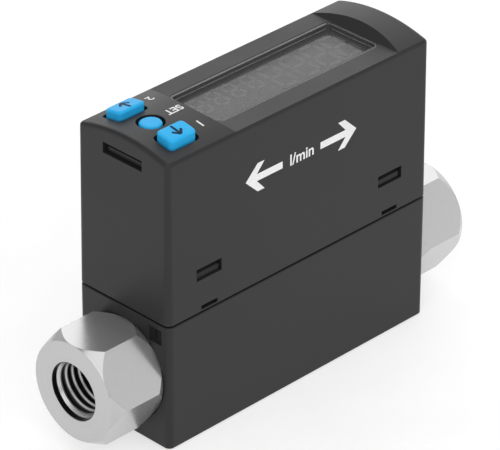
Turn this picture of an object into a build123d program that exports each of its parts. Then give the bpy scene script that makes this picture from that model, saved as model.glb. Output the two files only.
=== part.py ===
from build123d import *

import math
import os

# An in-line flow sensor. The flow runs along X, the printed face looks along -Y, and Z is up.
# The origin is at the middle of the underside. All sizes are in millimetres.

# Outer body
body_length = 58.0
body_width = 20.0
corner_radius = 1.1
parting_gap = 0.4
parting_groove_depth = 1.0
housing_height = 28.2
wall_draft = 0.44
shell_wall = 1.6
roof_thickness = 1.6
top_edge_radius = 0.7
inner_corner_radius = 0.6
lip_chamfer = 0.15
cut_margin = 1.0

# Arched button pad and crown, with the sunk deck between their two slopes
arch_radius = 30.7
arch_rise = 1.5
button_pad_length = 15.1
crown_length = 7.0
slope_angle = 45.0

# Display window, lens and liquid crystal stack
window_margin = 0.1
window_side_margin = 4.3
window_radius = 1.2
lens_clearance = 0.06
lens_recess = 1.1
lens_thickness = 1.2
lens_skirt = 0.3
lens_flange = 0.8
display_gap = 0.2
panel_overlap = 0.3
panel_thickness = 1.6
backlight_thickness = 1.4
display_frame_wall = 0.4
display_frame_step = 0.2

# Buttons and their switches
button_inset = 6.2
button_web = 1.075
cap_side_margin = 2.725
cap_length = 5.5
cap_corner = 0.75
cap_rise = 1.25
cap_edge_radius = 0.4
round_cap_radius = 1.85
button_clearance = 0.45
flange_overhang = 0.3
flange_thickness = 0.8
flange_gap = 0.3
stem_radius = 1.2
button_travel = 0.4
switch_length = 4.2
switch_width = 3.2
switch_height = 1.8
plunger_radius = 0.8
plunger_clearance = 0.15
plunger_reach = 0.6
plunger_length = 1.3
switch_well_margin = 0.2

# Snap hooks of the base in the windows of the housing
latch_end_margin = 8.8
latch_width = 5.4
latch_height = 2.1
latch_lift = 5.6
latch_clearance = 0.3
hook_recess = 0.4
hook_thickness = 1.2
release_width = 3.5
release_height = 0.7
release_web = 0.26

# Tongue and seal at the parting line
tongue_wall = 1.4
tongue_height = 3.2
tongue_clearance = 0.15
seal_thickness = 1.0
seal_depth = 0.7
seal_clearance = 0.05
seal_drop = 0.4

# Ports
port_axis_height = 11.3
port_roof = 3.8
port_projection = 10.8
hex_corner_gap = 0.185
hex_chamfer_angle = 30.0
seat_margin = 0.4
seat_depth = 0.4
thread_radius = 4.865
thread_depth = 8.5
thread_mouth = 0.14
port_bore_radius = 4.0
spigot_radius = 6.9
spigot_length = 9.4
port_pocket_clearance = 0.1

# Port O-rings and retaining clips
seal_groove_depth = 1.66
seal_groove_width = 2.4
seal_setback = 1.4
seal_skin = 0.01
clip_thickness = 1.0
clip_leg = 1.45
clip_bar = 1.5
clip_groove_depth = 1.0
clip_clearance = 0.15
clip_setback = 3.4
clip_reach = 4.0
clip_recess = 0.5
clip_grip_gap = 0.05

# Flow passage
passage_radius = 5.5
insert_clearance = 0.08
screen_thickness = 0.5
screen_hole_radius = 0.5
screen_ring_pitch = 1.46
screen_ring_count = 3
straightener_length = 12.0
straightener_hole_radius = 0.75
straightener_ring_pitch = 2.06
straightener_ring_count = 2
spacer_wall = 0.8
tap_spacing = 16.0
tap_radius = 0.8
spigot_gap = 0.3

# Mounting inserts in the underside
insert_spacing = 20.0
insert_radius = 2.1
insert_cover = 1.8
insert_thread_radius = 1.5

# Sensing block above the passage
gasket_thickness = 0.6
gasket_band = 1.4
channel_length = 24.0
channel_side_gap = 0.1
channel_height = 3.6
channel_slot_width = 2.4
channel_slot_depth = 1.6
sensor_board_thickness = 1.0
sensor_board_margin = 0.5
chip_length = 3.0
chip_width = 2.6
chip_height = 0.7
chip_clearance = 0.3

# Inner frame
frame_gap = 0.35
frame_wall = 1.2
frame_side_gap = 1.7
frame_foot_length = 4.6
frame_foot_thickness = 1.2
hold_down_spacing = 16.0
hold_down_length = 3.0
hold_down_grip = 0.4
frame_window_count = 3
frame_window_length = 9.0
frame_window_height = 7.0
frame_arm_thickness = 1.0
frame_arm_bevel = 2.05
frame_arm_gap = 0.12
frame_web_drop = 6.0
frame_web_thickness = 1.6
end_slot_width = 8.5
end_slot_height = 1.85
end_slot_drop = 3.1
end_slot_recess = 0.7
foot_screw_radius = 1.0
foot_screw_head_radius = 1.8
foot_screw_head_height = 1.2
foot_screw_cover = 1.2

# Boards and what stands on them
board_thickness = 1.2
board_clearance = 0.15
board_slot_depth = 0.8
main_board_gap = 0.2
main_board_drop = 0.6
main_board_lift = 0.5
display_board_gap = 0.3
display_board_side_gap = 0.6
board_screw_radius = 0.8
board_screw_head_radius = 1.4
board_screw_head_height = 1.0
board_screw_length = 3.0
board_screw_edge = 2.5
board_screw_gap = 0.2
board_boss_radius = 1.7
board_boss_height = 2.4
header_width = 2.5
header_height = 3.0
sensor_header_length = 8.0
display_header_length = 9.0
controller_size = 7.0
controller_thickness = 1.0
capacitor_radius = 2.6
capacitor_length = 5.0
can_foot_thickness = 0.6
can_foot_margin = 0.15
choke_radius = 3.0
choke_height = 2.8
regulator_length = 6.4
regulator_height = 3.6
regulator_thickness = 1.6

# Cable socket in the right end
socket_height = 11.4
socket_length = 8.0
socket_wall = 1.0
socket_floor = 2.0
socket_sink = 0.2
socket_fit = 0.1
pin_size = 0.6
pin_pitch = 2.0
pin_board_gap = 2.0
pin_count = 4
pin_reach = 4.5
pin_tail = 1.0

# Printed arrows and the sunk plates for the port numbers
arrow_lift = 18.7
arrow_tip_place = 12.25
arrow_length = 8.05
arrow_head_length = 4.1
arrow_head_width = 4.96
arrow_barb = 1.5
arrow_throat = 1.68
arrow_shaft = 1.22
print_depth = 0.1
plate_width = 2.85
plate_height = 2.6
plate_depth = 0.3
plate_offset = 7.03
plate_drop = 2.2

# Places that follow from the sizes above
half_length = body_length / 2
half_width = body_width / 2
hex_corner = half_width - hex_corner_gap
hex_across_flats = 2 * hex_corner * math.cos(math.radians(30))
seat_radius = hex_across_flats / 2 + seat_margin
port_pocket_radius = spigot_radius + port_pocket_clearance
base_height = port_axis_height + port_pocket_radius + port_roof
shell_bottom = base_height + parting_gap
deck_height = shell_bottom + housing_height
crest_height = deck_height + arch_rise
draft_slope = math.tan(math.radians(wall_draft))
deck_start = -half_length + button_pad_length
deck_end = half_length - crown_length
deck_centre = (deck_start + deck_end) / 2
window_length = deck_end - deck_start - 2 * window_margin
window_width = body_width - 2 * window_side_margin
button_place = -half_length + button_inset
cap_outer_edge = half_width - cap_side_margin
cap_inner_edge = round_cap_radius + 2 * button_clearance + button_web
cap_width = cap_outer_edge - cap_inner_edge
button_offset = (cap_outer_edge + cap_inner_edge) / 2
latch_spacing = body_length - 2 * latch_end_margin
latch_bottom = shell_bottom + latch_lift
arrow_height_place = shell_bottom + arrow_lift
plate_centre = base_height - plate_drop
arch_centre = crest_height - arch_radius
lens_top = deck_height - lens_recess
lens_bottom = lens_top - lens_thickness
panel_top = lens_bottom - display_gap
panel_length = window_length + 2 * panel_overlap
panel_width = window_width + 2 * panel_overlap
backlight_top = panel_top - panel_thickness
board_top = backlight_top - backlight_thickness
display_board_bottom = board_top - board_thickness
plunger_top = board_top + switch_height + plunger_reach
tongue_half_length = half_length - shell_wall - tongue_clearance
tongue_half_width = half_width - shell_wall - tongue_clearance
port_face = half_length + port_projection
seat_floor = half_length - seat_depth
spigot_end = seat_floor - spigot_length
port_pocket_end = spigot_end - spigot_gap
channel_bottom = base_height + gasket_thickness
sensor_board_bottom = channel_bottom + channel_height
sensor_board_top = sensor_board_bottom + sensor_board_thickness
main_board_bottom = sensor_board_top + main_board_lift
frame_half_length = tongue_half_length - tongue_wall - frame_gap
frame_width = 2 * (tongue_half_width - tongue_wall - frame_gap)
frame_side_bottom = sensor_board_top + frame_side_gap
channel_width = frame_width - 2 * (frame_wall + channel_side_gap)
hold_down_width = frame_wall + channel_side_gap + hold_down_grip
board_screw_offset = frame_width / 2 - board_screw_edge
foot_screw_reach = port_roof - foot_screw_cover
insert_length = port_axis_height - passage_radius - insert_cover
end_slot_bottom = deck_height - end_slot_drop
main_board_front = frame_width / 2 - frame_wall - main_board_gap - board_thickness
main_board_half_length = frame_half_length - frame_wall + board_slot_depth - board_clearance
main_board_top = display_board_bottom - main_board_drop
component_height = (main_board_bottom + main_board_top) / 2
socket_centre = component_height
display_board_half_length = frame_half_length + display_board_gap
display_board_edge = shell_wall + (display_board_bottom - shell_bottom) * draft_slope + display_board_side_gap
display_board_width = body_width - 2 * display_board_edge
pin_offset = main_board_front - pin_board_gap
port_axis = Axis((0, 0, port_axis_height), (1, 0, 0))
port_plane = Plane(origin=(0, 0, port_axis_height), x_dir=(1, 0, 0), z_dir=(0, -1, 0))


def wall_inset(height):
    """How far the drafted housing wall has drawn in at a height."""
    return (height - shell_bottom) * draft_slope


def arch_height(offset, below=0.0):
    """Height of the arched top, or of a face a distance below it, at a distance from its crest line."""
    return arch_centre + math.sqrt((arch_radius - below) ** 2 - offset**2)


def drafted_block(inset, roof, edge_radius):
    """The housing's drafted block under its arch and deck, drawn in on all sides by inset."""
    deck = deck_height - roof
    top = crest_height - roof + cut_margin
    run = (top - deck) / math.tan(math.radians(slope_angle))
    with BuildPart() as block:
        with BuildSketch(Plane.XY.offset(shell_bottom)):
            radius = max(corner_radius - inset, inner_corner_radius)
            RectangleRounded(body_length - 2 * inset, body_width - 2 * inset, radius)
        extrude(amount=top - shell_bottom, taper=wall_draft)
        with BuildSketch(Plane.YZ):
            with Locations((0, arch_centre)):
                Circle(arch_radius - roof)
        extrude(amount=body_length, both=True, mode=Mode.INTERSECT)
        if edge_radius > 0:
            fillet(block.faces().sort_by(Axis.Z)[-1].edges(), edge_radius)
        with BuildSketch(Plane.XZ):
            with BuildLine():
                Polyline(
                    (deck_start, deck),
                    (deck_end, deck),
                    (deck_end + run, top),
                    (deck_start - run, top),
                    close=True,
                )
            make_face()
        extrude(amount=body_width, both=True, mode=Mode.SUBTRACT)
    return block.part


def finish(piece, name):
    """Label a finished piece and write it under its own name."""
    piece.part.label = name
    export_step(piece.part, f"parts/{name}.step")


os.makedirs("parts", exist_ok=True)

# Base block: flow passage, port sockets, tongue, snap hooks, clip slots and insert pockets
latch_top = latch_bottom + latch_height
hook_tip = half_width - hook_recess
hook_catch = latch_bottom + latch_clearance / 2
clip_place = seat_floor - clip_setback
clip_groove_radius = spigot_radius - clip_groove_depth
clip_outer = clip_groove_radius + clip_grip_gap + clip_leg
tongue_inner_length = 2 * (tongue_half_length - tongue_wall)
tongue_inner_width = 2 * (tongue_half_width - tongue_wall)
seal_groove_bottom = base_height + tongue_height - seal_drop - seal_thickness
seal_inner_length = 2 * (tongue_half_length - seal_depth)
seal_inner_width = 2 * (tongue_half_width - seal_depth)
foot_place = frame_half_length - frame_wall - frame_foot_length / 2
with BuildPart() as base_body:
    with BuildSketch():
        RectangleRounded(body_length, body_width, corner_radius)
    extrude(amount=base_height)
    chamfer(base_body.faces().sort_by(Axis.Z)[-1].edges(), lip_chamfer)
    chamfer(base_body.faces().sort_by(Axis.Z)[0].edges(), lip_chamfer)
    with BuildSketch(Plane.XY.offset(base_height)):
        RectangleRounded(2 * tongue_half_length, 2 * tongue_half_width, inner_corner_radius)
        Rectangle(tongue_inner_length, tongue_inner_width, mode=Mode.SUBTRACT)
    extrude(amount=tongue_height)
    with BuildSketch(Plane.XY.offset(base_height)):
        RectangleRounded(
            body_length - 2 * parting_groove_depth, body_width - 2 * parting_groove_depth, inner_corner_radius
        )
        Rectangle(tongue_inner_length, tongue_inner_width, mode=Mode.SUBTRACT)
    extrude(amount=parting_gap)
    with BuildSketch(Plane.YZ.offset(latch_spacing / 2)):
        with BuildLine():
            Polyline(
                (tongue_half_width - hook_thickness, base_height),
                (tongue_half_width, base_height),
                (tongue_half_width, hook_catch),
                (hook_tip, hook_catch),
                (hook_tip, (hook_catch + latch_top) / 2),
                (tongue_half_width, latch_top),
                (tongue_half_width - hook_thickness, latch_top),
                close=True,
            )
        make_face()
        mirror(about=Plane.YZ)
    extrude(amount=latch_width / 2 - latch_clearance, both=True)
    mirror(about=Plane.YZ)
    with BuildSketch(Plane.XY.offset(seal_groove_bottom)):
        RectangleRounded(body_length, body_width, corner_radius)
        RectangleRounded(seal_inner_length, seal_inner_width, inner_corner_radius, mode=Mode.SUBTRACT)
    extrude(amount=seal_thickness + 2 * seal_clearance, mode=Mode.SUBTRACT)
    with BuildSketch(port_plane):
        with BuildLine():
            Polyline(
                (0, 0),
                (half_length, 0),
                (half_length, seat_radius),
                (seat_floor, seat_radius),
                (seat_floor, port_pocket_radius),
                (port_pocket_end, port_pocket_radius),
                (port_pocket_end, passage_radius),
                (0, passage_radius),
                close=True,
            )
        make_face()
        mirror(about=Plane.YZ)
    revolve(axis=port_axis, mode=Mode.SUBTRACT)
    with BuildSketch(Plane.XY.offset(base_height)):
        with GridLocations(tap_spacing, 0, 2, 1):
            Circle(tap_radius)
    extrude(amount=-(base_height - port_axis_height), mode=Mode.SUBTRACT)
    for place in (-clip_place, clip_place):
        with BuildSketch(Plane.YZ.offset(place)):
            with BuildLine():
                Polyline(
                    (0, 0),
                    (clip_outer, 0),
                    (clip_outer, port_axis_height + clip_reach + clip_clearance),
                    (clip_groove_radius - clip_clearance, port_axis_height + clip_reach + clip_clearance),
                    (clip_groove_radius - clip_clearance, clip_recess + clip_bar + clip_clearance),
                    (0, clip_recess + clip_bar + clip_clearance),
                    close=True,
                )
            make_face()
            mirror(about=Plane.YZ)
        extrude(amount=clip_thickness / 2 + clip_clearance, both=True, mode=Mode.SUBTRACT)
    with BuildSketch():
        with GridLocations(insert_spacing, 0, 2, 1):
            Circle(insert_radius)
    extrude(amount=insert_length, mode=Mode.SUBTRACT)
    with BuildSketch(Plane.XY.offset(base_height)):
        with GridLocations(2 * foot_place, 0, 2, 1):
            Circle(foot_screw_radius)
    extrude(amount=-foot_screw_reach, mode=Mode.SUBTRACT)
    for end_plane in (Plane.YZ.offset(half_length), Plane.YZ.offset(-half_length)):
        with BuildSketch(end_plane):
            with Locations((-plate_offset, plate_centre)):
                Rectangle(plate_width, plate_height)
        extrude(amount=plate_depth, both=True, mode=Mode.SUBTRACT)
finish(base_body, "base_body")

# Seal around the tongue, in its groove
with BuildPart() as housing_seal:
    with BuildSketch(Plane.XY.offset(seal_groove_bottom + seal_clearance)):
        seal_wall_inset = shell_wall + wall_inset(seal_groove_bottom + seal_thickness) + seal_clearance
        RectangleRounded(
            body_length - 2 * seal_wall_inset, body_width - 2 * seal_wall_inset, inner_corner_radius
        )
        RectangleRounded(seal_inner_length, seal_inner_width, inner_corner_radius, mode=Mode.SUBTRACT)
    extrude(amount=seal_thickness)
finish(housing_seal, "housing_seal")

# Upper housing: drafted shell with window, button holes, latch windows, release slots and socket hole
slot_length = cap_length + 2 * button_clearance
slot_width = cap_width + 2 * button_clearance
slot_corner = cap_corner + button_clearance / 2
release_bottom = shell_bottom + release_web
socket_width = 2 * main_board_front
front_face = Plane(
    origin=(0, -half_width + wall_inset(arrow_height_place), arrow_height_place),
    x_dir=(1, 0, 0),
    z_dir=(0, -math.cos(math.radians(wall_draft)), math.sin(math.radians(wall_draft))),
)
with BuildSketch(front_face) as arrow_outline:
    with BuildLine():
        Polyline(
            (arrow_tip_place, 0),
            (arrow_tip_place - arrow_head_length + arrow_barb, arrow_head_width / 2),
            (arrow_tip_place - arrow_head_length, arrow_head_width / 2),
            (arrow_tip_place - arrow_head_length + arrow_throat, arrow_shaft / 2),
            (arrow_tip_place - arrow_length, arrow_shaft / 2),
            (arrow_tip_place - arrow_length, -arrow_shaft / 2),
            (arrow_tip_place - arrow_head_length + arrow_throat, -arrow_shaft / 2),
            (arrow_tip_place - arrow_head_length, -arrow_head_width / 2),
            (arrow_tip_place - arrow_head_length + arrow_barb, -arrow_head_width / 2),
            close=True,
        )
    make_face()
    mirror(about=Plane.YZ)
with BuildPart() as upper_housing:
    add(drafted_block(0.0, 0.0, top_edge_radius))
    add(drafted_block(shell_wall, roof_thickness, 0.0), mode=Mode.SUBTRACT)
    with BuildSketch(Plane.XY.offset(deck_height)):
        with Locations((deck_centre, 0)):
            RectangleRounded(window_length, window_width, window_radius)
    extrude(amount=roof_thickness, both=True, mode=Mode.SUBTRACT)
    with BuildSketch(Plane.XY.offset(crest_height)):
        with Locations((button_place, -button_offset), (button_place, button_offset)):
            RectangleRounded(slot_length, slot_width, slot_corner)
        with Locations((button_place, 0)):
            Circle(round_cap_radius + button_clearance)
    extrude(amount=-(roof_thickness + arch_rise), mode=Mode.SUBTRACT)
    with BuildSketch(Plane.XZ):
        with Locations((0, latch_bottom + latch_height / 2)):
            with GridLocations(latch_spacing, 0, 2, 1):
                Rectangle(latch_width, latch_height)
        with Locations((0, release_bottom + release_height / 2)):
            with GridLocations(latch_spacing, 0, 2, 1):
                Rectangle(release_width, release_height)
    extrude(amount=body_width, both=True, mode=Mode.SUBTRACT)
    with BuildSketch(Plane.YZ.offset(-half_length)):
        with Locations((0, end_slot_bottom + end_slot_height / 2)):
            Rectangle(end_slot_width, end_slot_height)
    extrude(amount=2 * shell_wall, mode=Mode.SUBTRACT)
    with BuildSketch(Plane.YZ.offset(half_length)):
        with Locations((0, socket_centre)):
            Rectangle(socket_width + 2 * socket_fit, socket_height + 2 * socket_fit)
    extrude(amount=-2 * shell_wall, mode=Mode.SUBTRACT)
    extrude(arrow_outline.sketch, amount=-print_depth, mode=Mode.SUBTRACT)
finish(upper_housing, "upper_housing")

# The two printed arrows lie flush in the front face
with BuildPart() as flow_arrow_print:
    extrude(arrow_outline.sketch, amount=-print_depth)
finish(flow_arrow_print, "flow_arrow_print")

# Lens: a tray whose skirt lines the window and whose flange bears under the roof
lens_length = window_length - 2 * lens_clearance
lens_width = window_width - 2 * lens_clearance
lens_radius = window_radius - lens_clearance
with BuildPart() as display_lens:
    with BuildSketch(Plane.XY.offset(lens_bottom)):
        with Locations((deck_centre, 0)):
            RectangleRounded(lens_length, lens_width, lens_radius)
    extrude(amount=deck_height - lens_clearance - lens_bottom)
    with BuildSketch(Plane.XY.offset(lens_top)):
        with Locations((deck_centre, 0)):
            tray_length = lens_length - 2 * lens_skirt
            RectangleRounded(tray_length, lens_width - 2 * lens_skirt, lens_radius - lens_skirt)
    extrude(amount=lens_recess, mode=Mode.SUBTRACT)
    with BuildSketch(Plane.XY.offset(lens_bottom)):
        with Locations((deck_centre, 0)):
            RectangleRounded(window_length + 2 * lens_flange, window_width + 2 * lens_flange, window_radius)
    extrude(amount=deck_height - roof_thickness - lens_bottom)
finish(display_lens, "display_lens")

# Liquid crystal stack on its board: light guide, glass panel and clip frame
with BuildPart() as lcd_backlight:
    with BuildSketch(Plane.XY.offset(board_top)):
        with Locations((deck_centre, 0)):
            Rectangle(panel_length, panel_width)
    extrude(amount=backlight_thickness)
finish(lcd_backlight, "lcd_backlight")

with BuildPart() as lcd_panel:
    with BuildSketch(Plane.XY.offset(backlight_top)):
        with Locations((deck_centre, 0)):
            Rectangle(panel_length, panel_width)
    extrude(amount=panel_thickness)
    chamfer(lcd_panel.faces().sort_by(Axis.Z)[-1].edges(), lip_chamfer)
finish(lcd_panel, "lcd_panel")

with BuildPart() as lcd_frame:
    with BuildSketch(Plane.XY.offset(board_top)):
        with Locations((deck_centre, 0)):
            Rectangle(panel_length + 2 * display_frame_wall, panel_width + 2 * display_frame_wall)
            Rectangle(panel_length, panel_width, mode=Mode.SUBTRACT)
    extrude(amount=panel_top - display_frame_step - board_top)
finish(lcd_frame, "lcd_frame")

# Display board, and the two screws that hold it on the inner frame
display_frame_left = deck_centre - panel_length / 2 - display_frame_wall
board_screw_left = (button_place + switch_length / 2 + display_frame_left) / 2
board_screw_right = display_board_half_length - board_screw_head_radius - board_screw_gap
board_screw_places = [(place, -board_screw_offset) for place in (board_screw_left, board_screw_right)]
with BuildPart() as display_board:
    with BuildSketch(Plane.XY.offset(display_board_bottom)):
        Rectangle(2 * display_board_half_length, display_board_width)
        with Locations(*board_screw_places):
            Circle(board_screw_radius, mode=Mode.SUBTRACT)
    extrude(amount=board_thickness)
finish(display_board, "display_board")

with BuildPart() as display_board_screws:
    with BuildSketch(Plane.XY.offset(board_top)):
        with Locations(*board_screw_places):
            Circle(board_screw_head_radius)
    extrude(amount=board_screw_head_height)
    with BuildSketch(Plane.XY.offset(board_top)):
        with Locations(*board_screw_places):
            Circle(board_screw_radius)
    extrude(amount=-board_screw_length)
    with BuildSketch(Plane.XY.offset(board_top + board_screw_head_height)):
        with Locations(*board_screw_places):
            RegularPolygon(board_screw_head_radius / 2, 6)
    extrude(amount=-board_screw_head_height / 2, mode=Mode.SUBTRACT)
finish(display_board_screws, "display_board_screws")


def press_button(name, offset, outline, flange_outline, rise):
    """Cap, retaining flange and stem of one button; the stem stands on the switch plunger."""
    outer_reach = abs(offset) + flange_outline.bounding_box().size.Y / 2
    flange_top = arch_height(outer_reach, roof_thickness) - flange_gap
    with BuildPart() as button:
        with BuildSketch(Plane.XY.offset(flange_top - flange_thickness)):
            with Locations((button_place, offset)):
                add(outline)
        extrude(amount=crest_height + 2 * cap_rise - flange_top)
        with BuildSketch(Plane.YZ):
            with Locations((0, arch_centre)):
                Circle(arch_radius + rise)
        extrude(amount=body_length, both=True, mode=Mode.INTERSECT)
        fillet(button.faces().sort_by(Axis.Z)[-1].edges(), cap_edge_radius)
        with BuildSketch(Plane.XY.offset(flange_top - flange_thickness)):
            with Locations((button_place, offset)):
                add(flange_outline)
        extrude(amount=flange_thickness)
        with BuildSketch(Plane.XY.offset(plunger_top)):
            with Locations((button_place, offset)):
                Circle(stem_radius)
        extrude(amount=flange_top - flange_thickness - plunger_top)
    finish(button, name)


def switch_pair(name, offset):
    """Body of one tactile switch on the display board, and the plunger that rides in it."""
    well_depth = plunger_length - plunger_reach + button_travel + switch_well_margin
    with BuildPart() as switch:
        with BuildSketch(Plane.XY.offset(board_top)):
            with Locations((button_place, offset)):
                Rectangle(switch_length, switch_width)
        extrude(amount=switch_height)
        with BuildSketch(Plane.XY.offset(board_top + switch_height)):
            with Locations((button_place, offset)):
                Circle(plunger_radius + plunger_clearance)
        extrude(amount=-well_depth, mode=Mode.SUBTRACT)
    finish(switch, f"{name}_switch")
    with BuildPart() as plunger:
        with BuildSketch(Plane.XY.offset(plunger_top)):
            with Locations((button_place, offset)):
                Circle(plunger_radius)
        extrude(amount=-plunger_length)
    finish(plunger, f"{name}_plunger")


# Three buttons: two raised rectangular caps and a flush round one between them
with BuildSketch() as cap_outline:
    RectangleRounded(cap_length, cap_width, cap_corner)
with BuildSketch() as cap_flange_outline:
    RectangleRounded(slot_length + 2 * flange_overhang, slot_width + 2 * flange_overhang, slot_corner)
with BuildSketch() as round_outline:
    Circle(round_cap_radius)
with BuildSketch() as round_flange_outline:
    Circle(round_cap_radius + button_clearance + flange_overhang)
press_button("up_button", -button_offset, cap_outline.sketch, cap_flange_outline.sketch, cap_rise)
press_button("set_button", 0.0, round_outline.sketch, round_flange_outline.sketch, 0.0)
press_button("down_button", button_offset, cap_outline.sketch, cap_flange_outline.sketch, cap_rise)
switch_pair("up", -button_offset)
switch_pair("set", 0.0)
switch_pair("down", button_offset)

# Inner frame: stands on the base, carries both boards, and snaps into the slot in the left end
arm_outer = half_length - shell_wall - wall_inset(end_slot_bottom) - frame_arm_gap
arm_inner = arm_outer - frame_arm_thickness
nose_tip = half_length - wall_inset(end_slot_bottom) - end_slot_recess
arm_web_bottom = display_board_bottom - frame_web_drop
nose_bottom = end_slot_bottom + latch_clearance / 2
nose_top = end_slot_bottom + end_slot_height - latch_clearance / 2
frame_window_pitch = 2 * frame_half_length / (frame_window_count + 1)
with BuildPart() as inner_frame:
    with BuildSketch(Plane.XY.offset(base_height)):
        Rectangle(2 * frame_half_length, frame_width)
        Rectangle(2 * (frame_half_length - frame_wall), frame_width, mode=Mode.SUBTRACT)
    extrude(amount=display_board_bottom - base_height)
    with BuildSketch(Plane.XY.offset(frame_side_bottom)):
        Rectangle(2 * frame_half_length, frame_width)
        Rectangle(2 * (frame_half_length - frame_wall), frame_width - 2 * frame_wall, mode=Mode.SUBTRACT)
    extrude(amount=display_board_bottom - frame_side_bottom)
    with BuildSketch(Plane.XZ):
        with Locations((0, (frame_side_bottom + display_board_bottom) / 2)):
            with GridLocations(frame_window_pitch, 0, frame_window_count, 1):
                RectangleRounded(frame_window_length, frame_window_height, inner_corner_radius)
    extrude(amount=frame_width, both=True, mode=Mode.SUBTRACT)
    with BuildSketch(Plane.XY.offset(base_height)):
        with GridLocations(2 * foot_place, 0, 2, 1):
            Rectangle(frame_foot_length, frame_width)
            Circle(foot_screw_radius, mode=Mode.SUBTRACT)
    extrude(amount=frame_foot_thickness)
    with BuildSketch(Plane.XY.offset(display_board_bottom)):
        with Locations(*board_screw_places):
            Circle(board_boss_radius)
    extrude(amount=-board_boss_height)
    with BuildSketch(Plane.XY.offset(display_board_bottom)):
        with Locations(*board_screw_places):
            Circle(board_screw_radius)
    extrude(amount=-(board_screw_length - board_thickness), mode=Mode.SUBTRACT)
    with BuildSketch(Plane.XY.offset(sensor_board_bottom)):
        with GridLocations(hold_down_spacing, frame_width - hold_down_width, 2, 2):
            Rectangle(hold_down_length, hold_down_width)
    extrude(amount=frame_side_bottom - sensor_board_bottom)
    with BuildSketch(Plane.XY.offset(display_board_bottom)):
        with Locations((0, main_board_front + board_thickness / 2)):
            Rectangle(
                2 * (frame_half_length - frame_wall + board_slot_depth), board_thickness + 2 * board_clearance
            )
    extrude(amount=-(display_board_bottom - main_board_bottom), mode=Mode.SUBTRACT)
    with BuildSketch(Plane.YZ.offset(frame_half_length)):
        with Locations((0, socket_centre)):
            Rectangle(socket_width + 2 * socket_fit, socket_height + 2 * socket_fit)
    extrude(amount=-2 * frame_wall, mode=Mode.SUBTRACT)
    with BuildSketch(Plane.XZ):
        with BuildLine():
            Polyline(
                (-frame_half_length, arm_web_bottom),
                (-arm_outer, arm_web_bottom),
                (-arm_outer, nose_bottom),
                (-nose_tip, nose_bottom),
                (-nose_tip, (nose_bottom + nose_top) / 2),
                (-arm_outer, nose_top),
                (-arm_inner, nose_top - frame_arm_bevel),
                (-arm_inner, arm_web_bottom + frame_web_thickness),
                (-frame_half_length, arm_web_bottom + frame_web_thickness),
                close=True,
            )
        make_face()
    extrude(amount=end_slot_width / 2 - latch_clearance, both=True)
finish(inner_frame, "inner_frame")

# Screws through the frame's feet into the base
with BuildPart() as frame_screws:
    with BuildSketch(Plane.XY.offset(base_height + frame_foot_thickness)):
        with GridLocations(2 * foot_place, 0, 2, 1):
            Circle(foot_screw_head_radius)
    extrude(amount=foot_screw_head_height)
    with BuildSketch(Plane.XY.offset(base_height + frame_foot_thickness)):
        with GridLocations(2 * foot_place, 0, 2, 1):
            Circle(foot_screw_radius)
    extrude(amount=-(frame_foot_thickness + foot_screw_reach - lip_chamfer))
finish(frame_screws, "frame_screws")

# Main board and what is soldered on its front face, evenly spread between the frame's end and the socket
socket_face = half_length - wall_inset(socket_centre) - socket_sink
socket_back = socket_face - socket_length
component_lengths = [
    2 * choke_radius,
    2 * capacitor_radius,
    controller_size,
    regulator_height,
    2 * capacitor_radius,
]
component_start = frame_wall - frame_half_length
component_room = socket_back - pin_tail - component_start
component_gap = (component_room - sum(component_lengths)) / (len(component_lengths) + 1)
component_places = [
    component_start + sum(component_lengths[:index]) + length / 2 + (index + 1) * component_gap
    for index, length in enumerate(component_lengths)
]
choke_place, output_capacitor_place, controller_place = component_places[:3]
regulator_place, input_capacitor_place = component_places[3:]
with BuildPart() as main_board:
    with BuildSketch(Plane.XZ.offset(-main_board_front)):
        with Locations((0, component_height)):
            Rectangle(2 * main_board_half_length, main_board_top - main_board_bottom)
    extrude(amount=-board_thickness)
finish(main_board, "main_board")

with BuildPart() as microcontroller:
    with BuildSketch(Plane.XZ.offset(-main_board_front)):
        with Locations((controller_place, component_height)):
            Rectangle(controller_size, controller_size)
    extrude(amount=controller_thickness)
finish(microcontroller, "microcontroller")

with BuildPart() as voltage_regulator:
    with BuildSketch(Plane.XZ.offset(-main_board_front)):
        with Locations((regulator_place, component_height)):
            Rectangle(regulator_height, regulator_length)
    extrude(amount=regulator_thickness)
finish(voltage_regulator, "voltage_regulator")


def board_can(name, place, radius, height):
    """A round can on a square foot, standing on the main board's front face."""
    with BuildPart() as can:
        with BuildSketch(Plane.XZ.offset(-main_board_front)):
            with Locations((place, component_height)):
                Rectangle(2 * radius, 2 * radius)
        extrude(amount=can_foot_thickness)
        with BuildSketch(Plane.XZ.offset(-main_board_front)):
            with Locations((place, component_height)):
                Circle(radius - can_foot_margin)
        extrude(amount=height)
    finish(can, name)


board_can("input_capacitor", input_capacitor_place, capacitor_radius, capacitor_length)
board_can("output_capacitor", output_capacitor_place, capacitor_radius, capacitor_length)
board_can("power_choke", choke_place, choke_radius, choke_height)


def board_header(name, place, length, bottom):
    """A pin header block against the main board's front face."""
    with BuildPart() as header:
        with BuildSketch(Plane.XY.offset(bottom)):
            with Locations((place, main_board_front - header_width / 2)):
                Rectangle(length, header_width)
        extrude(amount=header_height)
    finish(header, name)


board_header("sensor_header", 0.0, sensor_header_length, sensor_board_top)
display_header_bottom = display_board_bottom - header_height
board_header("display_header", deck_centre, display_header_length, display_header_bottom)

# Sensing block on the base: gasket, bypass channel, board and sensor chip
with BuildPart() as channel_gasket:
    with BuildSketch(Plane.XY.offset(base_height)):
        Rectangle(channel_length, channel_width)
        Rectangle(channel_length - 2 * gasket_band, channel_width - 2 * gasket_band, mode=Mode.SUBTRACT)
    extrude(amount=gasket_thickness)
finish(channel_gasket, "channel_gasket")

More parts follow.
